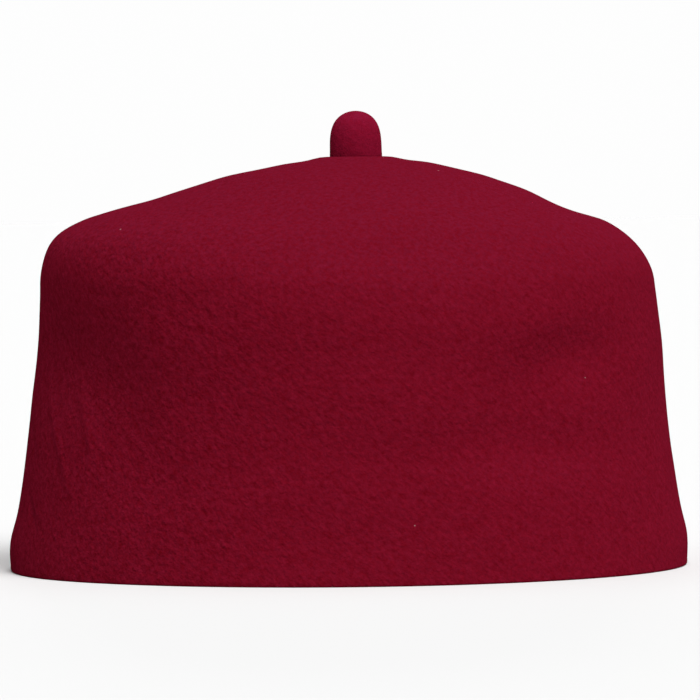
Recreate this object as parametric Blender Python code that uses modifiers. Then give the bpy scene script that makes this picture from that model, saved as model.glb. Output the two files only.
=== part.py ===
"""A soft wool-felt fez with a sewn-on felt nub, standing on its rim.

The crown is turned like felt blocked on a round wooden form: a wall that flares to the rim,
a rounded shoulder and a softly coned roof. It is then widened into the oval of a head, its
tip is set a little to one side, and slumps and dents are pushed into it, as soft felt has
them. The nub is a turned stub with a blunt end that stands on a flat seat at the tip.

Units are metres. The origin is the middle of the rim, on the surface that the hat stands
on. +Z is up, the front faces -Y, and +X is on the right of someone who looks at the front.
"""

from collections import namedtuple
from math import atan2, cos, degrees, exp, hypot, pi, radians, sin

import bpy
from mathutils import Vector
from mathutils.geometry import interpolate_bezier

# Sizes of the crown
RIM_WIDTH = 0.191
RIM_DEPTH = 0.187
SHOULDER_WIDTH = 0.1712
SHOULDER_HEIGHT = 0.0936
ROOF_RISE = 0.0212
FELT_THICKNESS = 0.0024
SHOULDER_ROUND = 0.0145
TIP_OFFSET = 0.003
RIM_EDGE_ROUND = 0.0008
FLARE_POWER = 1.6
ROOF_POWER = 1.28

CROWN_HEIGHT = SHOULDER_HEIGHT + ROOF_RISE

# Sizes of the nub
NUB_WIDTH = 0.0147
NUB_HEIGHT = 0.0124
NUB_BLUNTNESS = 3.7
NUB_FOOT_ROUND = 0.0004
SEAT_MARGIN = 0.0006
SEAT_GAP = 0.0003

# How finely the shapes are divided
STEPS_AROUND = 76
ROOF_RINGS = 9
SHOULDER_RINGS = 7
WALL_RINGS = 10
EDGE_RINGS = 2
NUB_STEPS_AROUND = 28
NUB_RINGS = 8
MERGE_DISTANCE = 0.00005

FELT_COLOUR = (0.19, 0.0065, 0.021, 1.0)
FELT_ROUGHNESS = 0.95

# A push moves the felt near one place. bearing is in degrees, 0 at the front and 90 on the
# right. walk is how far its middle lies along the felt from the rim (0) to the tip (1).
# half_width runs round the hat and half_length along the walk, both as shares of the rim's
# half-width; lean turns the push, in degrees, positive like a forward slash. out and up are
# shares of the felt's shoulder height, negative for inwards and downwards. A half_width of
# several rim half-widths runs all the way round.
Push = namedtuple("Push", "bearing walk half_width half_length lean out up")
PUSHES = (
    Push(bearing=92, walk=0.56, half_width=0.60, half_length=0.20, lean=0, out=-0.009, up=-0.016),
    Push(bearing=94, walk=0.65, half_width=0.42, half_length=0.12, lean=0, out=0, up=-0.014),
    Push(bearing=-92, walk=0.50, half_width=0.50, half_length=0.11, lean=0, out=0.012, up=0.010),
    Push(bearing=-58, walk=0.52, half_width=0.34, half_length=0.14, lean=0, out=0.007, up=0.003),
    Push(bearing=4, walk=0.54, half_width=0.62, half_length=0.235, lean=0, out=-0.027, up=-0.041),
    Push(bearing=24, walk=0.48, half_width=0.42, half_length=0.17, lean=0, out=-0.014, up=-0.008),
    Push(bearing=-11, walk=0.39, half_width=0.30, half_length=0.13, lean=0, out=0.010, up=0),
    Push(bearing=68, walk=0.33, half_width=0.42, half_length=0.15, lean=0, out=0.011, up=0),
    Push(bearing=24, walk=0.37, half_width=0.55, half_length=0.12, lean=0, out=0.020, up=0),
    Push(bearing=16, walk=0.25, half_width=0.35, half_length=0.13, lean=0, out=0.013, up=0),
    Push(bearing=5, walk=0.29, half_width=0.18, half_length=0.09, lean=0, out=0.009, up=0),
    Push(bearing=33, walk=0.19, half_width=0.40, half_length=0.09, lean=0, out=-0.018, up=0),
    Push(bearing=-32, walk=0.17, half_width=0.45, half_length=0.13, lean=0, out=-0.016, up=0),
    Push(bearing=0, walk=0.13, half_width=0.42, half_length=0.13, lean=0, out=0.006, up=0),
    Push(bearing=-63, walk=0.31, half_width=0.32, half_length=0.17, lean=-20, out=-0.036, up=0),
    Push(bearing=-43, walk=0.26, half_width=0.34, half_length=0.15, lean=-50, out=-0.020, up=0),
    Push(bearing=-20, walk=0.25, half_width=0.26, half_length=0.10, lean=-20, out=-0.008, up=0),
    Push(bearing=46, walk=0.325, half_width=0.20, half_length=0.11, lean=10, out=-0.034, up=0),
    Push(bearing=28, walk=0.24, half_width=0.26, half_length=0.12, lean=45, out=-0.022, up=0),
    Push(bearing=-14, walk=0.63, half_width=0.16, half_length=0.12, lean=0, out=0, up=-0.012),
    Push(bearing=0, walk=0.925, half_width=5.0, half_length=0.05, lean=0, out=0, up=-0.004),
    Push(bearing=0, walk=0.80, half_width=5.0, half_length=0.10, lean=0, out=0, up=0.004),
    Push(bearing=0, walk=0.68, half_width=5.0, half_length=0.08, lean=0, out=0, up=-0.003),
    Push(bearing=140, walk=0.34, half_width=0.36, half_length=0.18, lean=-20, out=-0.026, up=0),
    Push(bearing=-134, walk=0.29, half_width=0.32, half_length=0.16, lean=24, out=-0.024, up=0),
    Push(bearing=178, walk=0.63, half_width=0.36, half_length=0.18, lean=0, out=0, up=-0.016),
)
# The rim and the seat of the nub stay flat: pushes fade out over these shares of the walk.
RIM_FADE = 0.10
TIP_FADE = 0.03
# Each rounded corner of the cut edge takes this share of the felt's thickness at most.
EDGE_SHARE = 0.4
# A curve whose handles reach this share of the way to the corner is close to an arc.
ARC_HANDLE = 0.55


def clear_scene():
    """Removes every object, such as those of Blender's startup file."""
    for obj in list(bpy.data.objects):
        bpy.data.objects.remove(obj, do_unlink=True)


def new_collection(name):
    """A collection of that name, linked to the scene."""
    collection = bpy.data.collections.new(name)
    bpy.context.scene.collection.children.link(collection)
    return collection


def felt_material(name):
    """Dyed wool felt: one even colour and a matt surface."""
    material = bpy.data.materials.new(name)
    material.use_nodes = True
    shader = material.node_tree.nodes["Principled BSDF"]
    shader.inputs["Base Color"].default_value = FELT_COLOUR
    shader.inputs["Roughness"].default_value = FELT_ROUGHNESS
    shader.inputs["Metallic"].default_value = 0.0
    material.diffuse_color = FELT_COLOUR
    return material


def smooth(share):
    """An even S-shaped rise from 0 to 1."""
    share = min(1.0, max(0.0, share))
    return share * share * (3 - 2 * share)


def seat_reach():
    """The radius of the flat seat that the nub stands on."""
    return NUB_WIDTH / 2 + SEAT_MARGIN


def wall_reach(height):
    """The wall's radius at a height: nearly upright at the shoulder, flaring to the rim."""
    shoulder = SHOULDER_WIDTH / 2
    rim = RIM_WIDTH / 2
    below = (SHOULDER_HEIGHT - height) / (SHOULDER_HEIGHT - RIM_EDGE_ROUND)
    return shoulder + (rim - shoulder) * max(0.0, below) ** FLARE_POWER


def roof_height(reach):
    """The roof's height at a radius: it falls away from the flat seat, ever more steeply."""
    run = max(0.0, reach - seat_reach()) / (SHOULDER_WIDTH / 2 - seat_reach())
    return CROWN_HEIGHT - ROOF_RISE * run**ROOF_POWER


def outer_profile():
    """The outer line of the felt, from the edge of the seat down to the rim's edge."""
    corner = Vector((SHOULDER_WIDTH / 2, 0, SHOULDER_HEIGHT))
    roof_end = corner.x - SHOULDER_ROUND
    wall_end = corner.z - SHOULDER_ROUND
    points = []
    for ring in range(ROOF_RINGS):
        share = ring / ROOF_RINGS
        reach = seat_reach() + (roof_end - seat_reach()) * share
        points.append(Vector((reach, 0, roof_height(reach))))
    start = Vector((roof_end, 0, roof_height(roof_end)))
    end = Vector((wall_reach(wall_end), 0, wall_end))
    start_handle = start.lerp(corner, ARC_HANDLE)
    end_handle = end.lerp(corner, ARC_HANDLE)
    points += interpolate_bezier(start, start_handle, end_handle, end, SHOULDER_RINGS)
    for ring in range(1, WALL_RINGS + 1):
        share = ring / WALL_RINGS
        height = wall_end + (RIM_EDGE_ROUND - wall_end) * share
        points.append(Vector((wall_reach(height), 0, height)))
    return points


def inner_profile(outer):
    """The inner line, a felt's thickness inside the outer one and in the opposite order."""
    points = []
    for index in range(len(outer) - 1, -1, -1):
        before = outer[max(0, index - 1)]
        after = outer[min(len(outer) - 1, index + 1)]
        along = (after - before).normalized()
        inwards = Vector((along.z, 0, -along.x))
        points.append(outer[index] + inwards * FELT_THICKNESS)
    # At the rim the felt is cut square, so its inner edge stands level with its outer one.
    points[0].z = outer[-1].z
    return points


def rim_edge(outer_reach, inner_reach):
    """The cut edge: a rounded corner, the flat that the hat stands on, and another corner."""
    radius = min(RIM_EDGE_ROUND, EDGE_SHARE * (outer_reach - inner_reach))
    turns = [pi / 2 * step / EDGE_RINGS for step in range(1, EDGE_RINGS + 1)]
    outside = []
    inside = []
    for turn in turns:
        across = radius * (1 - cos(turn))
        height = radius * (1 - sin(turn))
        outside.append(Vector((outer_reach - across, 0, height)))
        inside.insert(0, Vector((inner_reach + across, 0, height)))
    return outside + inside


def wall_section():
    """The felt's cross-section: from the top of the tip, round the rim, to its underside."""
    outer = outer_profile()
    inner = inner_profile(outer)
    edge = rim_edge(outer[-1].x, inner[0].x)
    tip = [Vector((0, 0, CROWN_HEIGHT))]
    underside = [Vector((0, 0, CROWN_HEIGHT - FELT_THICKNESS))]
    return tip + outer + edge + inner + underside


def turned(name, section, steps):
    """A mesh turned from a section in the XZ plane, made with a Screw modifier."""
    line = bpy.data.meshes.new(name + "_section")
    edges = [(i, i + 1) for i in range(len(section) - 1)]
    line.from_pydata(section, edges, [])
    form = bpy.data.objects.new(name + "_form", line)
    bpy.context.scene.collection.objects.link(form)
    screw = form.modifiers.new("turn", "SCREW")
    screw.axis = "Z"
    screw.steps = steps
    screw.render_steps = steps
    screw.use_merge_vertices = True
    screw.merge_threshold = MERGE_DISTANCE
    screw.use_smooth_shade = True
    graph = bpy.context.evaluated_depsgraph_get()
    mesh = bpy.data.meshes.new_from_object(form.evaluated_get(graph))
    bpy.data.objects.remove(form)
    bpy.data.meshes.remove(line)
    mesh.name = name
    return mesh


def walk_of(point):
    """How far a point lies along the felt, from 0 at the rim to 1 at the tip."""
    reach = hypot(point.x, point.y)
    return (point.z + RIM_WIDTH / 2 - reach) / (CROWN_HEIGHT + RIM_WIDTH / 2)


def push_weight(push, point):
    """How strongly a push moves a point: 1 at its middle, fading like a bell."""
    half_rim = RIM_WIDTH / 2
    reach = hypot(point.x, point.y)
    bearing = degrees(atan2(point.x, -point.y))
    turn = (bearing - push.bearing + 180) % 360 - 180
    across = radians(turn) * reach / half_rim
    along = (walk_of(point) - push.walk) * (CROWN_HEIGHT + half_rim) / half_rim
    lean = radians(push.lean)
    u = (across * cos(lean) + along * sin(lean)) / push.half_width
    v = (along * cos(lean) - across * sin(lean)) / push.half_length
    return exp(-(u * u) - v * v)


def shape_on_head(mesh):
    """Widens the turned crown into an oval, sets its tip aside and pushes its dents in."""
    seat_walk = walk_of(Vector((seat_reach(), 0, CROWN_HEIGHT)))
    for vertex in mesh.vertices:
        point = vertex.co.copy()
        walk = walk_of(point)
        reach = hypot(point.x, point.y)
        outwards = Vector((point.x, point.y, 0)).normalized()
        # Pushes fade out at the rim, and towards the flat seat that holds the nub.
        soft = smooth(walk / RIM_FADE) * smooth((seat_walk - walk) / TIP_FADE)
        move = Vector()
        for push in PUSHES:
            weight = push_weight(push, point) * soft * SHOULDER_HEIGHT
            move += (outwards * push.out + Vector((0, 0, push.up))) * weight
        outside = smooth((reach - seat_reach()) / (SHOULDER_WIDTH / 2 - seat_reach()))
        point.x += TIP_OFFSET * (1 - outside)
        point.y *= 1 + (RIM_DEPTH / RIM_WIDTH - 1) * outside
        vertex.co = point + move


def build_crown(collection, material):
    """The felt body of the hat, open underneath."""
    mesh = turned("crown", wall_section(), STEPS_AROUND)
    shape_on_head(mesh)
    mesh.materials.append(material)
    mesh.update()
    crown = bpy.data.objects.new("crown", mesh)
    collection.objects.link(crown)


def nub_section():
    """The nub's section: a blunt rounded end, straight sides and a flat foot."""
    points = []
    half = NUB_WIDTH / 2
    for ring in range(NUB_RINGS + 1):
        # Equal turns crowd the rings where the blunt end bends into the side.
        turn = pi / 2 * ring / NUB_RINGS
        reach = half * sin(turn)
        height = NUB_HEIGHT * cos(turn) ** (2 / NUB_BLUNTNESS)
        points.append(Vector((reach, 0, max(height, NUB_FOOT_ROUND))))
    points.append(Vector((half - NUB_FOOT_ROUND, 0, 0)))
    points.append(Vector((0, 0, 0)))
    return points


def build_nub(collection, material):
    """The felt stub, standing on the crown's seat with a small gap."""
    mesh = turned("nub", nub_section(), NUB_STEPS_AROUND)
    mesh.materials.append(material)
    nub = bpy.data.objects.new("nub", mesh)
    nub.location = (TIP_OFFSET, 0, CROWN_HEIGHT + SEAT_GAP)
    collection.objects.link(nub)


def main():
    clear_scene()
    hat = new_collection("felt_fez")
    build_crown(hat, felt_material("crown_felt"))
    build_nub(hat, felt_material("nub_felt"))


main()
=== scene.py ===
# %% [markdown]
# # A soft felt fez with a nub
#
# The real hat is one piece of wool felt, wetted, steamed and pulled over a round wooden form
# called a block. A short stub of the same felt is sewn to the middle of its top. Felt has no
# threads: it is a mat of hair, so everything the eye sees on it comes from its soft shape,
# from the short nap on its surface and from the way that nap takes light.
#
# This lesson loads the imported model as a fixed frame, makes a finer skin for each of its two
# felt pieces, gives them the felt finish, and sets up a plain studio round them.

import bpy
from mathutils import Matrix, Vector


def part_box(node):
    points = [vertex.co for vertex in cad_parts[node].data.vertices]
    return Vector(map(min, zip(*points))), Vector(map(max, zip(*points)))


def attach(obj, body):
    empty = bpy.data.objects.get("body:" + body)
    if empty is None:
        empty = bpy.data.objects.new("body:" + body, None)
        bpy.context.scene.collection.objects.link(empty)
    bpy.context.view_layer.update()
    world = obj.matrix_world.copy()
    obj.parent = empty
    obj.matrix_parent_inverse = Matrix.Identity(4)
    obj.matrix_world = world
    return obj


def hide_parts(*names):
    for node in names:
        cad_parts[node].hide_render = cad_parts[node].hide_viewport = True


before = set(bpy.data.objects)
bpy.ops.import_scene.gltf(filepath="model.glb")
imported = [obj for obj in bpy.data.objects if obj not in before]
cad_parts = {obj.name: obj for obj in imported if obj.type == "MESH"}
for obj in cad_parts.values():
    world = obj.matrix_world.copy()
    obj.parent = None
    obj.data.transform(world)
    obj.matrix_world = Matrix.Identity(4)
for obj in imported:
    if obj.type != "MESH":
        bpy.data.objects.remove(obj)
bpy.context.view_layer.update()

# %% Tools for the rest of the lesson
from collections import namedtuple

import bpy
import numpy as np
from mathutils import Quaternion, Vector

# %% [markdown]
# ## Sizes that the frame gives
#
# A piece that stands for a node has to stay where the node is. The main sizes are therefore
# read from the boxes of the two nodes and not typed in again.

# %% Sizes of the frame's two nodes
crown_low, crown_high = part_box("crown")
nub_low, nub_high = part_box("nub")

RIM_HALF = (crown_high.x - crown_low.x) / 2
RIM_HALF_DEPTH = (crown_high.y - crown_low.y) / 2
CROWN_TOP = crown_high.z
NUB_HALF = (nub_high.x - nub_low.x) / 2
TIP_ASIDE = (nub_high.x + nub_low.x) / 2
# Lengths are in metres, so this is one millimetre.
MM = 0.001
print(f"rim {2000 * RIM_HALF:.1f} x {2000 * RIM_HALF_DEPTH:.1f} mm, top at {1000 * CROWN_TOP:.1f} mm")

# %% [markdown]
# ## One helper that turns a grid of points into a mesh
#
# Both pieces are closed skins that run round an axis: rows of points from the top pole, down
# the outside, and on to a second pole. On the grid, columns run round the hat and rows run
# along its section. The first and last row are single points, which close the poles, and the
# last column joins the first one, which closes the seam.


# %% A skin from rows of points
def closed_skin(name, grid):
    """A mesh from an array of shape (rows, columns, 3).

    Vertex number = 1 + row * columns + column for the rows between the poles. Each face joins
    a point with the one below it, the one below and beside it, and the one beside it, which is
    counter-clockwise from outside, so every face points outwards.
    """
    rows, columns = grid.shape[0] - 2, grid.shape[1]
    points = np.vstack([grid[0, :1], grid[1:-1].reshape(-1, 3), grid[-1, :1]])
    number = 1 + np.arange(rows * columns).reshape(rows, columns)
    beside = np.roll(number, -1, axis=1)
    quads = np.stack([number[:-1], number[1:], beside[1:], beside[:-1]], axis=-1).reshape(-1, 4)
    top = np.stack([np.zeros(columns, int), number[0], beside[0]], axis=-1)
    last = np.full(columns, len(points) - 1)
    bottom = np.stack([number[-1], last, beside[-1]], axis=-1)
    mesh = bpy.data.meshes.new(name)
    mesh.from_pydata(points.tolist(), [], top.tolist() + quads.tolist() + bottom.tolist())
    mesh.shade_smooth()
    piece = bpy.data.objects.new(name, mesh)
    bpy.context.scene.collection.objects.link(piece)
    print(f"{name}: {len(points)} points, {2 * len(quads) + 2 * columns} triangles")
    return piece


# %% [markdown]
# ## The section of the crown
#
# A blocked hat is a turned shape to begin with, so its section is a line in the plane of reach
# (distance from the axis) and height. The line has a softly coned roof, a rounded shoulder and
# a wall that flares out to the rim. Each part is a simple formula, worked out on many points at
# once.

# %% Sizes of the section
# Roof and wall would meet in a corner at this reach and height. It is rounded off, from
# SHOULDER_ROUND before it to SHOULDER_ROUND after it.
SHOULDER_HALF = 0.0856
SHOULDER_HEIGHT = 0.0936
SHOULDER_ROUND = 14.5 * MM
# A curve whose handles reach this share of the way to the corner is close to an arc.
ARC_HANDLE = 0.55
# Powers above 1: further out the roof falls more steeply, and further down the wall flares more.
ROOF_POWER = 1.28
FLARE_POWER = 1.6
# The roof starts to fall at SEAT_REACH. Under the nub the sewing has drawn it down by
# SEAT_DEPTH, which fades out over SEAT_FADE.
SEAT_REACH = NUB_HALF + 0.6 * MM
SEAT_DEPTH = 0.15 * MM
SEAT_FADE = 1.5 * MM
FELT_THICKNESS = 2.4 * MM
# The wall ends at this height, and below it the cut edge is rounded.
CUT_HEIGHT = 0.7 * MM
print(f"shoulder {1000 * SHOULDER_HALF:.1f} mm out and {1000 * SHOULDER_HEIGHT:.1f} mm up")

# %% The line of the felt from the tip to the rim
ROOF_POINTS = 700
SHOULDER_POINTS = 250
WALL_POINTS = 800


def bell(distance, half):
    """e to the minus square of distance / half: 1 in the middle, and 0.37 at half."""
    return np.exp(-((distance / half) ** 2))


def roof_height(reach):
    """Height of the roof: the tip's height less a fall that grows as a power of the way out."""
    run = np.clip((reach - SEAT_REACH) / (SHOULDER_HALF - SEAT_REACH), 0, None)
    seat = SEAT_DEPTH * bell(np.clip(reach - NUB_HALF, 0, None), SEAT_FADE)
    return CROWN_TOP - seat - (CROWN_TOP - SHOULDER_HEIGHT) * run**ROOF_POWER


def wall_reach(height):
    """Reach of the wall: the shoulder's reach plus a flare that grows as a power of the fall."""
    fall = np.clip((SHOULDER_HEIGHT - height) / SHOULDER_HEIGHT, 0, None)
    return SHOULDER_HALF + (RIM_HALF - SHOULDER_HALF) * fall**FLARE_POWER


def felt_line():
    """Points (reach, height) along roof, shoulder and wall, about 0.1 mm apart.

    The shoulder is a Bezier curve: start, two handles and end, weighted by the four products
    of t and 1 - t. Its handles reach part of the way to the corner that it rounds off.
    """
    roof_end = SHOULDER_HALF - SHOULDER_ROUND
    wall_start = SHOULDER_HEIGHT - SHOULDER_ROUND
    reach = np.linspace(0, roof_end, ROOF_POINTS, endpoint=False)
    roof = np.stack([reach, roof_height(reach)], axis=1)
    start = np.array([roof_end, roof_height(roof_end)])
    end = np.array([wall_reach(wall_start), wall_start])
    corner = np.array([SHOULDER_HALF, SHOULDER_HEIGHT])
    first = start + (corner - start) * ARC_HANDLE
    second = end + (corner - end) * ARC_HANDLE
    t = np.linspace(0, 1, SHOULDER_POINTS, endpoint=False)[:, None]
    s = 1 - t
    shoulder = s**3 * start + 3 * s * s * t * first + 3 * s * t * t * second + t**3 * end
    height = np.linspace(wall_start, CUT_HEIGHT, WALL_POINTS)
    wall = np.stack([wall_reach(height), height], axis=1)
    return np.vstack([roof, shoulder, wall])


felt = felt_line()
print(f"felt line {1000 * np.hypot(*np.diff(felt, axis=0).T).sum():.0f} mm long")

# %% The outer and the inner line, in rows
OUTER_ROWS = 158
INNER_ROWS = 26
# The roof is plain, so a step on it counts for less and it gets fewer rows.
ROOF_SHARE = 0.55


def evenly(line, count, roof_share=1.0):
    """The same line as count points that lie equally far apart along it.

    A roof_share below 1 counts a step on the roof for less, so that fewer points land there.
    """
    steps = np.hypot(*np.diff(line, axis=0).T)
    on_roof = line[1:, 0] < SHOULDER_HALF - SHOULDER_ROUND
    on_roof &= line[1:, 1] > SHOULDER_HEIGHT
    steps = np.where(on_roof, roof_share * steps, steps)
    way = np.concatenate([[0], np.cumsum(steps)])
    wanted = np.linspace(0, way[-1], count)
    return np.stack([np.interp(wanted, way, line[:, 0]), np.interp(wanted, way, line[:, 1])], axis=1)


def inside_of(line):
    """The same line, moved inwards by the felt's thickness, square to itself."""
    along = np.gradient(line, axis=0)
    along /= np.hypot(*along.T)[:, None]
    return line + np.stack([along[:, 1], -along[:, 0]], axis=1) * FELT_THICKNESS


outer_line = evenly(felt, OUTER_ROWS, ROOF_SHARE)
inner_line = inside_of(evenly(felt, INNER_ROWS))
# The inner line has to start on the axis and to end level with the outer one.
inner_line[0, 0] = 0
inner_line[-1, 1] = CUT_HEIGHT
print(f"felt {1000 * FELT_THICKNESS:.1f} mm thick, {len(outer_line)} rows outside, {len(inner_line)} inside")

# %% [markdown]
# ## The cut edge
#
# At the rim the felt is cut with a knife and then brushed, which rounds its two corners. The
# edge is drawn as a half oval that joins the outer line to the inner one, flattened where the
# hat stands on it.

# %% The rounded rim, and the whole section
EDGE_ROWS = 9
# 2 would make a true half oval. More flattens it and draws its corners tighter.
EDGE_FLATNESS = 3.0


def rim_edge(outer_reach, inner_reach):
    """A flattened half oval: reach and height are powers of the cosine and sine of a turn."""
    turn = np.linspace(0, np.pi, EDGE_ROWS + 2)[1:-1]
    middle = (outer_reach + inner_reach) / 2
    half = (outer_reach - inner_reach) / 2
    power = 2 / EDGE_FLATNESS
    across = np.sign(np.cos(turn)) * np.abs(np.cos(turn)) ** power
    down = np.sin(turn) ** power
    return np.stack([middle + half * across, CUT_HEIGHT * (1 - down)], axis=1)


edge_line = rim_edge(outer_line[-1, 0], inner_line[-1, 0])
section = np.vstack([outer_line, edge_line, inner_line[::-1]])
print(f"section of {len(section)} points")

# %% [markdown]
# ## Slumps and dents
#
# Soft felt never keeps the exact shape of its block. Each slump or dent is a push: a smooth
# bell that moves the felt near one place. One table says where the hat has sunk. Its pushes are
# the same ones that the solid frame has, so that this skin lies on it.

# %% The pushes
# bearing is in degrees, 0 at the front and 90 on the right. walk is the place along the felt,
# 0 at the rim and 1 at the tip. half_width runs round the hat and half_length along the walk,
# as shares of the rim's half width. lean turns the push. out and up are shares of the
# shoulder's height. A push with a half_width of 5 goes all the way round.
Push = namedtuple("Push", "bearing walk half_width half_length lean out up")
PUSHES = (
    Push(bearing=92, walk=0.56, half_width=0.60, half_length=0.20, lean=0, out=-0.009, up=-0.016),
    Push(bearing=94, walk=0.65, half_width=0.42, half_length=0.12, lean=0, out=0, up=-0.014),
    Push(bearing=-92, walk=0.50, half_width=0.50, half_length=0.11, lean=0, out=0.012, up=0.010),
    Push(bearing=-58, walk=0.52, half_width=0.34, half_length=0.14, lean=0, out=0.007, up=0.003),
    Push(bearing=4, walk=0.54, half_width=0.62, half_length=0.235, lean=0, out=-0.027, up=-0.041),
    Push(bearing=24, walk=0.48, half_width=0.42, half_length=0.17, lean=0, out=-0.014, up=-0.008),
    Push(bearing=-11, walk=0.39, half_width=0.30, half_length=0.13, lean=0, out=0.010, up=0),
    Push(bearing=68, walk=0.33, half_width=0.42, half_length=0.15, lean=0, out=0.011, up=0),
    Push(bearing=24, walk=0.37, half_width=0.55, half_length=0.12, lean=0, out=0.020, up=0),
    Push(bearing=16, walk=0.25, half_width=0.35, half_length=0.13, lean=0, out=0.013, up=0),
    Push(bearing=5, walk=0.29, half_width=0.18, half_length=0.09, lean=0, out=0.009, up=0),
    Push(bearing=33, walk=0.19, half_width=0.40, half_length=0.09, lean=0, out=-0.018, up=0),
    Push(bearing=-32, walk=0.17, half_width=0.45, half_length=0.13, lean=0, out=-0.016, up=0),
    Push(bearing=0, walk=0.13, half_width=0.42, half_length=0.13, lean=0, out=0.006, up=0),
    Push(bearing=-63, walk=0.31, half_width=0.32, half_length=0.17, lean=-20, out=-0.036, up=0),
    Push(bearing=-43, walk=0.26, half_width=0.34, half_length=0.15, lean=-50, out=-0.020, up=0),
    Push(bearing=-20, walk=0.25, half_width=0.26, half_length=0.10, lean=-20, out=-0.008, up=0),
    Push(bearing=46, walk=0.325, half_width=0.20, half_length=0.11, lean=10, out=-0.034, up=0),
    Push(bearing=28, walk=0.24, half_width=0.26, half_length=0.12, lean=45, out=-0.022, up=0),
    Push(bearing=-14, walk=0.63, half_width=0.16, half_length=0.12, lean=0, out=0, up=-0.012),
    Push(bearing=0, walk=0.925, half_width=5.0, half_length=0.05, lean=0, out=0, up=-0.004),
    Push(bearing=0, walk=0.80, half_width=5.0, half_length=0.10, lean=0, out=0, up=0.004),
    Push(bearing=0, walk=0.68, half_width=5.0, half_length=0.08, lean=0, out=0, up=-0.003),
    Push(bearing=140, walk=0.34, half_width=0.36, half_length=0.18, lean=-20, out=-0.026, up=0),
    Push(bearing=-134, walk=0.29, half_width=0.32, half_length=0.16, lean=24, out=-0.024, up=0),
    Push(bearing=178, walk=0.63, half_width=0.36, half_length=0.18, lean=0, out=0, up=-0.016),
)
print(f"{len(PUSHES)} pushes")

# %% How a push acts
# Pushes fade out over these shares of the walk, so that the rim and the seat stay flat.
RIM_FADE = 0.10
TIP_FADE = 0.03


def smooth(share):
    """An even S-shaped rise from 0 to 1: 3 s^2 - 2 s^3."""
    share = np.clip(share, 0, 1)
    return share * share * (3 - 2 * share)


def walk_of(reach, height):
    """How far a place lies along the felt, from 0 at the rim to 1 at the tip."""
    return (height + RIM_HALF - reach) / (CROWN_TOP + RIM_HALF)


def push_weight(push, bearing, reach, height):
    """A bell: e to the minus squares of the distance across and along, each in half sizes."""
    turn = (np.degrees(bearing) - push.bearing + 180) % 360 - 180
    across = np.radians(turn) * reach / RIM_HALF
    along = (walk_of(reach, height) - push.walk) * (CROWN_TOP + RIM_HALF) / RIM_HALF
    lean = np.radians(push.lean)
    u = (across * np.cos(lean) + along * np.sin(lean)) / push.half_width
    v = (along * np.cos(lean) - across * np.sin(lean)) / push.half_length
    return np.exp(-u * u - v * v)


print(f"the shoulder lies at a walk of {walk_of(SHOULDER_HALF, SHOULDER_HEIGHT):.2f}")

# %% [markdown]
# ## From the section to the whole crown
#
# The section is carried round the axis on a grid of bearings. The turned shape is then widened
# into the oval of a head, its tip is set a little aside, and the pushes move it. The bearings
# lie closer together on the left in front, where a hand has pinched small creases into the
# felt, and further apart at the back, which is plain.

# %% Carry the section round
COLUMNS = 500
# At the bearing CLOSEST the columns are closer together than the mean, by the share CLOSER.
CLOSER = 0.45
CLOSEST = np.radians(-42)
turn = np.linspace(-np.pi, np.pi, COLUMNS, endpoint=False)
bearing = turn - CLOSER * np.sin(turn - CLOSEST)
bearing, reach = np.meshgrid(bearing, section[:, 0])
height = np.repeat(section[:, 1:], COLUMNS, axis=1)
print(f"{bearing.shape[0]} rows of {bearing.shape[1]} points")


# %% Shape it
def shape_on_head(bearing, reach, height):
    """Points of the shaped felt: an oval turned shape plus the sum of all the pushes."""
    walk = walk_of(reach, height)
    soft = smooth(walk / RIM_FADE) * smooth((walk_of(SEAT_REACH, CROWN_TOP) - walk) / TIP_FADE)
    out = np.zeros_like(reach)
    up = np.zeros_like(reach)
    for push in PUSHES:
        weight = push_weight(push, bearing, reach, height) * soft * SHOULDER_HEIGHT
        out += push.out * weight
        up += push.up * weight
    outside = smooth((reach - SEAT_REACH) / (SHOULDER_HALF - SEAT_REACH))
    x = reach * np.sin(bearing) + TIP_ASIDE * (1 - outside)
    y = -reach * np.cos(bearing) * (1 + (RIM_HALF_DEPTH / RIM_HALF - 1) * outside)
    return np.stack([x + out * np.sin(bearing), y - out * np.cos(bearing), height + up], axis=-1)


crown_grid = shape_on_head(bearing, reach, height)
print(f"crown grid {crown_grid.shape}, lowest {crown_grid[..., 2].min():.4f}")

# %% [markdown]
# ## Hollows and the rolled rim
#
# Looked at closely, the felt has more relief than its main dents. Shallow hollows and
# swellings, a millimetre or so deep, lie between the dents, and the rim rolls in a little at
# its sides. They bend the whole wall, so they move both of its skins outwards or inwards.

# %% The hollows
# A hollow is a shallow bell. bearing and lean are in degrees and lengths in millimetres.
# half_width runs round the hat and half_height up the wall. rise is how far it stands out,
# negative where the felt is hollow.
Hollow = namedtuple("Hollow", "bearing height half_width half_height lean rise")
HOLLOWS = (
    Hollow(bearing=-33, height=34, half_width=13, half_height=9, lean=-45, rise=0.75),
    Hollow(bearing=-70, height=62, half_width=26, half_height=12, lean=0, rise=-0.80),
    Hollow(bearing=-86, height=32, half_width=9, half_height=17, lean=-20, rise=-0.45),
    Hollow(bearing=38, height=41, half_width=15, half_height=12, lean=0, rise=-1.5),
    Hollow(bearing=21, height=31, half_width=14, half_height=11, lean=0, rise=0.8),
    Hollow(bearing=-3, height=13, half_width=18, half_height=11, lean=0, rise=-0.7),
)


def hollow_rise(bearing, reach, height):
    """The sum of bells: e to the minus squares of the distances along and across each lean."""
    total = np.zeros_like(reach)
    for hollow in HOLLOWS:
        across = np.radians(np.degrees(bearing) - hollow.bearing) * reach
        along = height - hollow.height * MM
        lean = np.radians(hollow.lean)
        u = (across * np.cos(lean) + along * np.sin(lean)) / (hollow.half_width * MM)
        v = (along * np.cos(lean) - across * np.sin(lean)) / (hollow.half_height * MM)
        total += hollow.rise * MM * np.exp(-u * u - v * v)
    return total


print(f"{len(HOLLOWS)} hollows and swellings")

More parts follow.
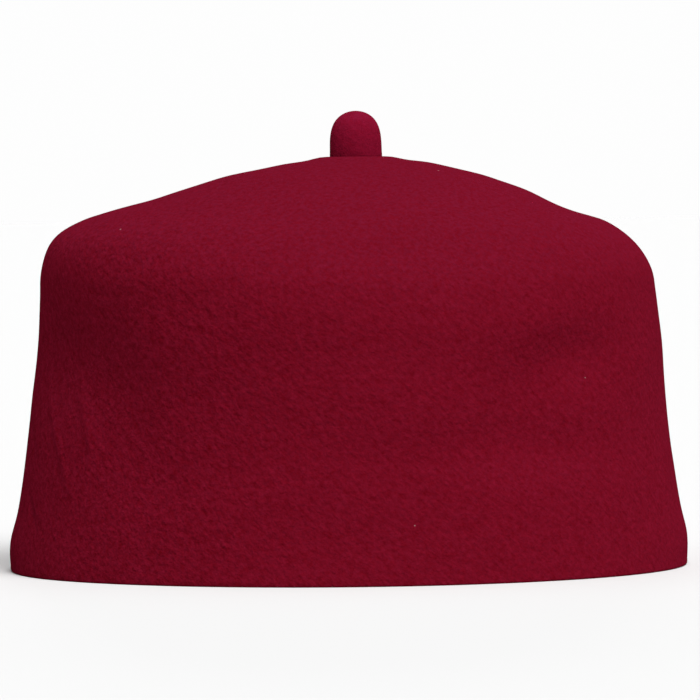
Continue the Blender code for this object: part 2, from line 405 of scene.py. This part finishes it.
# %% The rolled rim
# At both sides of the hat the wall comes out a little above the rim and goes in at the rim.
ROLL_OUT = 0.7 * MM
ROLL_OUT_HEIGHT = 9 * MM
ROLL_OUT_HALF = 5 * MM
ROLL_IN = 0.8 * MM
ROLL_IN_HALF = 3.5 * MM
# The sine of the bearing to a high power is 1 at both sides and next to nothing elsewhere.
SIDES_POWER = 12
# On the left in front the rim is pulled outwards, round this bearing in degrees.
PULL_OUT = 0.8 * MM
PULL_OUT_HALF = 10 * MM
PULL_BEARING = -60
PULL_BEARING_HALF = 24


def rim_roll(bearing, height):
    """How far the rim's roll and its pull move the wall outwards, as bells in height."""
    sideways = np.sin(bearing) ** SIDES_POWER
    out = ROLL_OUT * bell(height - ROLL_OUT_HEIGHT, ROLL_OUT_HALF)
    inwards = ROLL_IN * bell(height, ROLL_IN_HALF)
    pulled = PULL_OUT * bell(height, PULL_OUT_HALF)
    near = bell(np.degrees(bearing) - PULL_BEARING, PULL_BEARING_HALF)
    return (out - inwards) * sideways + pulled * near


# %% Bend the whole wall
# Hollows and the relief of the surface fade out below this height.
RIM_KEPT = 6 * MM
level = np.stack([np.sin(bearing), -np.cos(bearing), np.zeros_like(bearing)], axis=-1)
near_rim = smooth(height / RIM_KEPT)
bent = rim_roll(bearing, height) + hollow_rise(bearing, reach, height) * near_rim
crown_grid += level * bent[..., None]
print(f"wall bent from {1000 * bent.min():.2f} to {1000 * bent.max():.2f} mm")

# %% [markdown]
# ## Waves and creases
#
# A few creases low on the left show where a hand has squeezed the wall, and faint waves run
# everywhere, as in all felt that dried by hand. They belong to the surface alone, so they move
# only the outer skin, along its own normal. All of it is real shape and throws real shade,
# which a bump in the material couldn't do at the outline.

# %% Faint waves
WAVES = 44
WAVE_SEED = 11
WAVE_HEIGHT = 0.016 * MM
# Lengths of the waves in millimetres. A wave of medium length has the height above.
SHORTEST_WAVE = 9
MEDIUM_WAVE = 20
LONGEST_WAVE = 34


def faint_waves(points):
    """A sum of cosines that run in all directions, higher the longer they are."""
    chance = np.random.default_rng(WAVE_SEED)
    total = np.zeros(points.shape[:-1])
    for _ in range(WAVES):
        direction = chance.normal(size=3)
        direction /= np.linalg.norm(direction)
        length = chance.uniform(SHORTEST_WAVE, LONGEST_WAVE) * MM
        start = chance.uniform(0, 2 * np.pi)
        total += length * np.cos(2 * np.pi * (points @ direction) / length + start)
    return total * WAVE_HEIGHT / (MEDIUM_WAVE * MM)


print(f"{WAVES} waves, {SHORTEST_WAVE} to {LONGEST_WAVE} mm long")

# %% The creases
# A crease is a line from its top to its low end. Bearings are in degrees, and the heights top
# and low, width and rise in millimetres. bow is how far the line's middle leans round the hat,
# in degrees. rise is how far it stands out, negative for a furrow.
Crease = namedtuple("Crease", "top_bearing top low_bearing low bow width rise")
CREASES = (
    Crease(top_bearing=-76, top=57, low_bearing=-54, low=18, bow=2.0, width=1.5, rise=0.52),
    Crease(top_bearing=-62, top=58, low_bearing=-49, low=28, bow=0.8, width=2.2, rise=0.50),
    Crease(top_bearing=-50, top=48, low_bearing=-40, low=36, bow=0.3, width=1.7, rise=0.14),
    Crease(top_bearing=-84, top=45, low_bearing=-70, low=29, bow=0.5, width=1.2, rise=-0.45),
    Crease(top_bearing=-75, top=24, low_bearing=-66, low=11, bow=0.4, width=1.1, rise=-0.55),
    Crease(top_bearing=-36, top=77, low_bearing=-29, low=65, bow=0.3, width=1.3, rise=-0.13),
    Crease(top_bearing=-28.5, top=78, low_bearing=-21.5, low=65, bow=0.3, width=1.3, rise=-0.13),
)
# Shares of its length over which a crease fades out at its top and at its low end.
TOP_END = 0.3
LOW_END = 0.35


def crease_rise(bearing, reach, height):
    """The sum of lines, each with a bell across it.

    s runs from 0 at the crease's top to 1 at its low end. The line's bearing goes evenly from
    one end to the other and leans by the bow, times 4 s (1 - s).
    """
    total = np.zeros_like(reach)
    for crease in CREASES:
        top = crease.top * MM
        low = crease.low * MM
        s = (top - height) / (top - low)
        line = crease.top_bearing + (crease.low_bearing - crease.top_bearing) * s
        line = line + crease.bow * 4 * s * (1 - s)
        round_it = np.radians(crease.low_bearing - crease.top_bearing) * reach
        slant = np.arctan2(round_it, top - low)
        side = np.radians(np.degrees(bearing) - line) * reach * np.cos(slant)
        ends = smooth(s / TOP_END) * smooth((1 - s) / LOW_END)
        total += crease.rise * MM * ends * bell(side, crease.width * MM)
    return total


print(f"{len(CREASES)} creases")

# %% Move the outer skin along its normal
# The rows round the pole lie on the level seat, where a normal is straight up.
POLE_ROWS = 3
# A normal is divided by at least this, because at the pole it has no length.
SHORTEST = 1e-12
# The relief grows to its full height over this distance from the nub.
TIP_KEPT = 10 * MM


def normals_of(grid):
    """Unit normals: the cross product of the step down the rows and the step round a row."""
    down = np.gradient(grid, axis=0)
    round_it = (np.roll(grid, -1, axis=1) - np.roll(grid, 1, axis=1)) / 2
    normal = np.cross(down, round_it)
    size = np.linalg.norm(normal, axis=-1, keepdims=True)
    return normal / np.maximum(size, SHORTEST)


outer = crown_grid[:OUTER_ROWS]
normal = normals_of(outer)
normal[:POLE_ROWS] = (0, 0, 1)
place = bearing[:OUTER_ROWS], reach[:OUTER_ROWS], height[:OUTER_ROWS]
near_tip = smooth((place[1] - NUB_HALF) / TIP_KEPT)
relief = (faint_waves(outer) + crease_rise(*place)) * near_rim[:OUTER_ROWS] * near_tip
crown_grid[:OUTER_ROWS] = outer + normal * relief[..., None]
print(f"surface relief from {1000 * relief.min():.2f} to {1000 * relief.max():.2f} mm")

# %% The crown as a piece of its own
crown = closed_skin("blocked_felt_crown", crown_grid)
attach(crown, "root")
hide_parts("crown")

# %% [markdown]
# ## The nub
#
# The nub is a strip of felt rolled tight and rounded over: upright sides and a blunt dome. Its
# section is a superellipse, the curve between an oval and a rectangle. Its foot is tucked under
# a little and stands over the seat that the sewing has drawn down. As it is made by hand, it
# bulges very slightly.

# %% Sizes of the nub
# 2 would make the dome a half oval. More makes it blunter.
NUB_BLUNTNESS = 3.7
NUB_ROWS = 84
NUB_COLUMNS = 144
# A power below 1 moves rows from the dome down to the foot, where they lie furthest apart.
ROW_POWER = 0.9
# The foot's corner is a quarter round of this size.
TUCK = 0.15 * MM
TUCK_ROWS = 6
# The foot stays this far above the seat, so that the two skins don't cut into each other.
FOOT_GAP = 0.02 * MM
NUB_FOOT = CROWN_TOP - SEAT_DEPTH + FOOT_GAP
NUB_TALL = nub_high.z - NUB_FOOT
# Two waves run round the nub, one with two crests and one with three. The two crests have a
# phase in radians. The three twist as they rise, by a third of a radian for each TWIST_HEIGHT.
# Both waves fade out over the lowest FOOT_KEPT.
TWO_CRESTS = 0.10 * MM
TWO_CRESTS_TURN = 0.8
THREE_CRESTS = 0.07 * MM
TWIST_HEIGHT = 5 * MM
FOOT_KEPT = 2 * MM
print(f"nub {2000 * NUB_HALF:.1f} mm wide and {1000 * NUB_TALL:.1f} mm tall")


# %% The nub as a superellipse carried round
def nub_grid():
    """Rows from the top pole to the middle of the foot.

    reach = half width * sine of a turn; height = full height * cosine to the power 2 over the
    bluntness. The foot is a quarter round of the tuck's size, closed by a flat disc.
    """
    turn = np.pi / 2 * np.linspace(0, 1, NUB_ROWS) ** ROW_POWER
    reach = NUB_HALF * np.sin(turn)
    tall = TUCK + (NUB_TALL - TUCK) * np.cos(turn).clip(0, 1) ** (2 / NUB_BLUNTNESS)
    corner = np.linspace(0, np.pi / 2, TUCK_ROWS + 1)[1:]
    foot_reach = NUB_HALF - TUCK * (1 - np.cos(corner))
    foot_tall = TUCK * (1 - np.sin(corner))
    reach = np.concatenate([reach, foot_reach, [foot_reach[-1] / 2, 0]])
    tall = np.concatenate([tall, foot_tall, [0, 0]])
    bearing, reach = np.meshgrid(np.linspace(-np.pi, np.pi, NUB_COLUMNS, endpoint=False), reach)
    tall = np.repeat(tall[:, None], NUB_COLUMNS, axis=1)
    bulge = TWO_CRESTS * np.cos(2 * bearing + TWO_CRESTS_TURN)
    bulge = bulge + THREE_CRESTS * np.cos(3 * bearing - tall / TWIST_HEIGHT)
    reach = reach * (1 + bulge / NUB_HALF * smooth(tall / FOOT_KEPT))
    x = TIP_ASIDE + reach * np.sin(bearing)
    y = -reach * np.cos(bearing)
    return np.stack([x, y, NUB_FOOT + tall], axis=-1)


nub = closed_skin("rolled_felt_nub", nub_grid())
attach(nub, "root")
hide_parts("nub")

# %% [markdown]
# ## The felt as a material
#
# Wool felt is matt: its hairs scatter light every way, so it has no mirror reflection, only a
# little sheen where its nap is seen from the side. The dye is one deep wine red. What gives
# felt away is its nap. It was brushed to lie down to the right as it goes round the hat, so
# fine slanting streaks cover the wall, mixed with the even grain of the mat of hair below. The
# tips of the hairs show as paler, cooler specks, and where the felt faces up more of that pale
# tone is painted on as a painted sheen. A few specks of lint stick to it.
#
# A woven cloth would take its pattern from threads, and a picture of felt would repeat. Here
# noise in space does it, which needs no seam and no unwrapping.
#
# One hair is 0.02 mm thick, too fine to show. What shows is how hairs bunch up into tufts, so
# every noise below starts at tufts of 1 to 2 mm, and its finer layers go down to 0.1 mm.


# %% Helpers for colours and nodes
def linear(hex_colour):
    """Linear colour of an sRGB hex value: c / 12.92 when dark, else ((c + 0.055) / 1.055)^2.4."""
    part = np.array([int(hex_colour[i : i + 2], 16) for i in (1, 3, 5)]) / 255
    part = np.where(part <= 0.04045, part / 12.92, ((part + 0.055) / 1.055) ** 2.4)
    return (*part.tolist(), 1.0)


def add(tree, kind, inputs=None, **settings):
    """Adds one node, sets its own settings, and fills or links its inputs."""
    made = tree.nodes.new(kind)
    for name, value in settings.items():
        setattr(made, name, value)
    for name, value in (inputs or {}).items():
        if isinstance(value, bpy.types.NodeSocket):
            tree.links.new(value, made.inputs[name])
        else:
            made.inputs[name].default_value = value
    return made


# The values of a noise node lie round this one.
NOISE_MIDDLE = 0.5


def noise(tree, place, tuft, detail, roughness):
    """Noise that starts at tufts of one size. Each step of detail adds some half as big."""
    inputs = {"Vector": place, "Scale": 1 / tuft, "Detail": detail, "Roughness": roughness}
    return add(tree, "ShaderNodeTexNoise", inputs).outputs["Fac"]


def rescale(tree, value, start, end, low, high, **settings):
    """Goes from low to high while the value goes from start to end, and stays level outside."""
    inputs = {"Value": value, "From Min": start, "From Max": end, "To Min": low, "To Max": high}
    return add(tree, "ShaderNodeMapRange", inputs, **settings).outputs[0]


def mix(tree, share, one, other):
    """A number that is one at share 0 and other at share 1."""
    return add(tree, "ShaderNodeMix", {"Factor": share, 2: one, 3: other}).outputs[0]


def mix_colour(tree, share, one, other):
    """A colour that is one at share 0 and other at share 1."""
    inputs = {"Factor": share, 6: one, 7: other}
    return add(tree, "ShaderNodeMix", inputs, data_type="RGBA").outputs[2]


print(f"#808080 is {linear('#808080')[0]:.3f} in linear light")

# %% The slant of the nap
# The streaks are longer along Z than across, by one over this.
STREAK_SCALE = 0.6


def slanting_place(tree, place, height, turn_per_metre):
    """Coordinates turned about Z by an angle that grows with height.

    Noise stretched along Z in this space makes streaks that climb the wall at a slant all the
    way round, with no seam. On the roof, where height hardly changes, it is an even grain.
    """
    angle = add(tree, "ShaderNodeMath", {0: height, 1: turn_per_metre}, operation="MULTIPLY")
    inputs = {"Vector": place, "Angle": angle.outputs[0]}
    turned = add(tree, "ShaderNodeVectorRotate", inputs, rotation_type="Z_AXIS")
    inputs = {"Vector": turned.outputs[0], "Scale": (1, 1, STREAK_SCALE)}
    return add(tree, "ShaderNodeMapping", inputs).outputs[0]


print(f"streaks {1 / STREAK_SCALE:.2f} times as long as wide")

# %% Where the felt is calmer
# The felt's contrast is strongest on the left of the wall. From there to the middle the contrast
# goes down by the share SIDE_CALM, and up onto the roof by ROOF_CALM more.
ROUGH_LEFT = -70 * MM
CALM_FROM = 0.0
SIDE_CALM = 0.32
ROOF_STARTS = 70 * MM
ROOF_ENDS = 100 * MM
ROOF_CALM = 0.32


def calm_share(tree, sideways, height):
    """How much of the felt's contrast is taken away: by height plus by the way to the right."""
    eased = {"interpolation_type": "SMOOTHSTEP"}
    by_height = rescale(tree, height, ROOF_STARTS, ROOF_ENDS, 0.0, ROOF_CALM, **eased)
    by_side = rescale(tree, sideways, ROUGH_LEFT, CALM_FROM, 0.0, SIDE_CALM, **eased)
    return add(tree, "ShaderNodeMath", {0: by_height, 1: by_side}).outputs[0]


print(f"contrast left: {1 - SIDE_CALM:.2f} on the right, {1 - SIDE_CALM - ROOF_CALM:.2f} above it")

# %% The tone of the dye
# Dark between the hairs, and light on the hairs that stand up.
WINE_DARK = "#55030B"
WINE_LIGHT = "#710E22"
# The nub is rolled tighter, so less shade is caught in its nap.
NUB_DARK = "#600616"
NUB_LIGHT = "#80112D"
NAP_TUFT = 1.6 * MM
GRAIN_TUFT = 1.4 * MM
GRAIN_SHARE = 0.5
# Half the range of noise over which the tone goes from dark to light: less is more contrast.
TONE_HALF = 0.135


def felt_tone(tree, place, lying, calm, dark, light):
    """Dark to light by a mix of the nap's slanting tufts and the mat's even grain."""
    nap = noise(tree, lying, NAP_TUFT, detail=4.0, roughness=0.9)
    grain = noise(tree, place, GRAIN_TUFT, detail=3.0, roughness=0.75)
    calmer = mix(tree, calm, mix(tree, GRAIN_SHARE, nap, grain), NOISE_MIDDLE)
    share = rescale(tree, calmer, NOISE_MIDDLE - TONE_HALF, NOISE_MIDDLE + TONE_HALF, 0.0, 1.0)
    return mix_colour(tree, share, linear(dark), linear(light))


print("dye in linear light:", [round(c, 4) for c in linear(WINE_LIGHT)[:3]])

# %% Pale tips of hairs, and painted sheen on top
# A paler, cooler tone: specks of hair tips, and a painted sheen where the felt faces up.
PALE_TIPS_AND_SHEEN = "#6F3768"
TIP_TUFT = 1.1 * MM
TIP_NOISE_HALF = 0.12
# The most that the pale tone covers, on the wall and on the roof: specks of hair tips on the wall,
# and on the roof mostly painted sheen. The wall's share holds up to an upward part of the normal
# of WALL_UP, and the roof's share from ROOF_UP.
WALL_TIPS = 0.022
ROOF_TIPS_AND_SHEEN = 0.065
WALL_UP = 0.2
ROOF_UP = 0.9


def with_pale_tips_and_sheen(tree, place, tone):
    """Specks of paler hair tips over the tone, and more pale tone where the felt faces up: a painted sheen.
    """
    normal = add(tree, "ShaderNodeNewGeometry").outputs["Normal"]
    upwards = add(tree, "ShaderNodeSeparateXYZ", {0: normal}).outputs["Z"]
    # The more the normal points up, the more pale tone is painted on as sheen.
    most = rescale(tree, upwards, WALL_UP, ROOF_UP, WALL_TIPS, ROOF_TIPS_AND_SHEEN)
    specks = noise(tree, place, TIP_TUFT, detail=2.0, roughness=0.8)
    none = NOISE_MIDDLE - TIP_NOISE_HALF
    full = NOISE_MIDDLE + TIP_NOISE_HALF
    share = rescale(tree, specks, none, full, 0.0, most)
    return mix_colour(tree, share, tone, linear(PALE_TIPS_AND_SHEEN))


# On the roof most of this pale share is painted sheen.
print(f"pale tips up to {100 * WALL_TIPS:.1f} % on the wall and {100 * ROOF_TIPS_AND_SHEEN:.1f} % on the roof")

# %% Lint
LINT = "#D8B4B4"
LINT_APART = 12 * MM
LINT_HALF = 0.22 * MM
# A fleck has faded out at this many times its half width.
LINT_EDGE = 1.6
LINT_COVER = 0.45


def with_lint(tree, place, tone):
    """A tiny pale fleck round the chance point that each cell of a Voronoi pattern has."""
    cells = add(tree, "ShaderNodeTexVoronoi", {"Vector": place, "Scale": 1 / LINT_APART})
    inner = LINT_HALF / LINT_APART
    edge = LINT_EDGE * LINT_HALF / LINT_APART
    fleck = rescale(tree, cells.outputs["Distance"], inner, edge, LINT_COVER, 0.0)
    return mix_colour(tree, fleck, tone, linear(LINT))


print(f"lint {2000 * LINT_HALF:.2f} mm wide in cells of {1000 * LINT_APART:.0f} mm")

# %% The relief of the nap
RELIEF_TUFT = 1.6 * MM
PIT_TUFT = 1.5 * MM
PIT_SHARE = 0.72
RELIEF_DEPTH = 1.5 * MM


def felt_relief(tree, place, lying, calm):
    """A bump from slanting tufts and even pits, too fine to be modelled."""
    tufts = noise(tree, lying, RELIEF_TUFT, detail=4.0, roughness=0.6)
    pits = noise(tree, place, PIT_TUFT, detail=4.0, roughness=0.6)
    calmer = mix(tree, calm, mix(tree, PIT_SHARE, tufts, pits), NOISE_MIDDLE)
    inputs = {"Height": calmer, "Strength": 1.0, "Distance": RELIEF_DEPTH}
    return add(tree, "ShaderNodeBump", inputs).outputs[0]


print(f"bump of {1000 * RELIEF_DEPTH:.1f} mm between noise 0 and 1")

# %% The felt put together
NAP_SHEEN = "#FF4D7F"
# Radians of turn for each metre of height. At the wall's reach 11 makes a slant of about 45
# degrees, and on the small nub the nap stands nearly upright.
WALL_TURN = 11
NUB_TURN = 4


def wool_felt(name, turn_per_metre, dark, light):
    """Brushed wool felt: tone, hair tips with a painted sheen on top, lint and relief on a matt shader with
    a faint sheen.
    """
    material = bpy.data.materials.new(name)
    material.use_nodes = True
    tree = material.node_tree
    shader = tree.nodes["Principled BSDF"]
    place = add(tree, "ShaderNodeTexCoord").outputs["Object"]
    sideways, _, height = add(tree, "ShaderNodeSeparateXYZ", {0: place}).outputs
    lying = slanting_place(tree, place, height, turn_per_metre)
    calm = calm_share(tree, sideways, height)
    tone = felt_tone(tree, place, lying, calm, dark, light)
    tone = with_lint(tree, place, with_pale_tips_and_sheen(tree, place, tone))
    tree.links.new(tone, shader.inputs["Base Color"])
    tree.links.new(felt_relief(tree, place, lying, calm), shader.inputs["Normal"])
    shader.inputs["Roughness"].default_value = 1.0
    shader.inputs["Diffuse Roughness"].default_value = 0.3
    shader.inputs["Specular IOR Level"].default_value = 0.0
    shader.inputs["Sheen Weight"].default_value = 0.03
    shader.inputs["Sheen Roughness"].default_value = 0.5
    shader.inputs["Sheen Tint"].default_value = linear(NAP_SHEEN)
    return material


crown.data.materials.append(wool_felt("brushed_wool_felt", WALL_TURN, WINE_DARK, WINE_LIGHT))
nub.data.materials.append(wool_felt("rolled_wool_felt", NUB_TURN, NUB_DARK, NUB_LIGHT))
print("materials:", [m.name for m in bpy.data.materials])

# %% [markdown]
# ## The studio
#
# A plain pale floor runs out to the horizon, under an even white sky. Three soft suns take the
# place of the studio's lamps: the main one from the upper right in front, a weaker one from
# straight above, and a low one from behind, which the front never sees but which shows the
# back. Suns and sky light the floor evenly, so floor and background can be given the same tone,
# and no horizon shows.

# %% The floor
FLOOR_HALF = 60.0
FLOOR_TONE = 0.66
corners = [
    (-FLOOR_HALF, -FLOOR_HALF, 0),
    (FLOOR_HALF, -FLOOR_HALF, 0),
    (FLOOR_HALF, FLOOR_HALF, 0),
    (-FLOOR_HALF, FLOOR_HALF, 0),
]
floor_mesh = bpy.data.meshes.new("floor")
floor_mesh.from_pydata(corners, [], [(0, 1, 2, 3)])
floor = bpy.data.objects.new("floor", floor_mesh)
bpy.context.scene.collection.objects.link(floor)

paper = bpy.data.materials.new("matt_white_paper")
paper.use_nodes = True
paper_shader = paper.node_tree.nodes["Principled BSDF"]
paper_shader.inputs["Base Color"].default_value = (FLOOR_TONE, FLOOR_TONE, FLOOR_TONE, 1)
paper_shader.inputs["Roughness"].default_value = 1.0
paper_shader.inputs["Specular IOR Level"].default_value = 0.0
floor_mesh.materials.append(paper)
print(f"floor {2 * FLOOR_HALF:.0f} m wide")

# %% The suns
# bearing goes round the hat and climb above the floor. width is how wide a sun looks, which
# makes its shadows soft. All three are in degrees.
Sun = namedtuple("Sun", "name bearing climb strength width")
SUNS = (
    Sun(name="key", bearing=24, climb=52, strength=4.2, width=45),
    Sun(name="overhead", bearing=0, climb=90, strength=0.72, width=90),
    Sun(name="behind", bearing=180, climb=10, strength=1.3, width=20),
)

for sun in SUNS:
    lamp = bpy.data.lights.new(sun.name, "SUN")
    lamp.energy = sun.strength
    lamp.angle = np.radians(sun.width)
    lit = bpy.data.objects.new(sun.name, lamp)
    b, c = np.radians([sun.bearing, sun.climb])
    towards = Vector((np.sin(b) * np.cos(c), -np.cos(b) * np.cos(c), np.sin(c)))
    lit.rotation_mode = "QUATERNION"
    lit.rotation_quaternion = towards.to_track_quat("Z", "Y")
    bpy.context.scene.collection.objects.link(lit)

on_floor = sum(sun.strength * np.sin(np.radians(sun.climb)) for sun in SUNS)
print(f"suns give the floor {on_floor:.2f}")

# %% The sky
# The sky lights the hat with SKY, but where the camera sees it, it has the floor's tone. A
# matt floor shows the sky's light as it comes and a sun's divided by pi, times its own tone.
SKY = 0.14
floor_light = SKY + on_floor / np.pi

sky = bpy.data.worlds.new("sky")
bpy.context.scene.world = sky
sky.use_nodes = True
seen = add(sky.node_tree, "ShaderNodeLightPath").outputs["Is Camera Ray"]
strength = mix(sky.node_tree, seen, SKY, FLOOR_TONE * floor_light)
background = sky.node_tree.nodes["Background"]
background.inputs["Color"].default_value = (1, 1, 1, 1)
sky.node_tree.links.new(strength, background.inputs["Strength"])
print(f"floor tone in the picture {FLOOR_TONE * floor_light:.2f}")

# %% [markdown]
# ## The camera
#
# The picture is taken with a long lens, almost level, from about the height of the shoulder, so
# that the floor, the wall and a thin slice of the roof show.

# %% Camera
# A metre at DISTANCE is PIXELS_PER_METRE wide in the picture. SENSOR is in millimetres.
PICTURE_SIDE = 700
PIXELS_PER_METRE = 3568
DISTANCE = 1.6
AIM = Vector((0.00077, 0, 0.0605))
EYE_HEIGHT = 0.0995
ROLL = np.radians(-0.6)
SENSOR = 36
FAR_END = 200

lens = bpy.data.cameras.new("camera")
lens.sensor_width = SENSOR
lens.lens = PIXELS_PER_METRE * DISTANCE / PICTURE_SIDE * SENSOR
lens.clip_end = FAR_END
camera = bpy.data.objects.new("camera", lens)
camera.location = (AIM.x, -DISTANCE, EYE_HEIGHT)
camera.rotation_mode = "QUATERNION"
look = (AIM - camera.location).to_track_quat("-Z", "Y")
camera.rotation_quaternion = look @ Quaternion((0, 0, 1), ROLL)
bpy.context.scene.collection.objects.link(camera)
bpy.context.scene.camera = camera
bpy.context.scene.view_settings.view_transform = "Standard"
print(f"lens {lens.lens:.1f} mm")
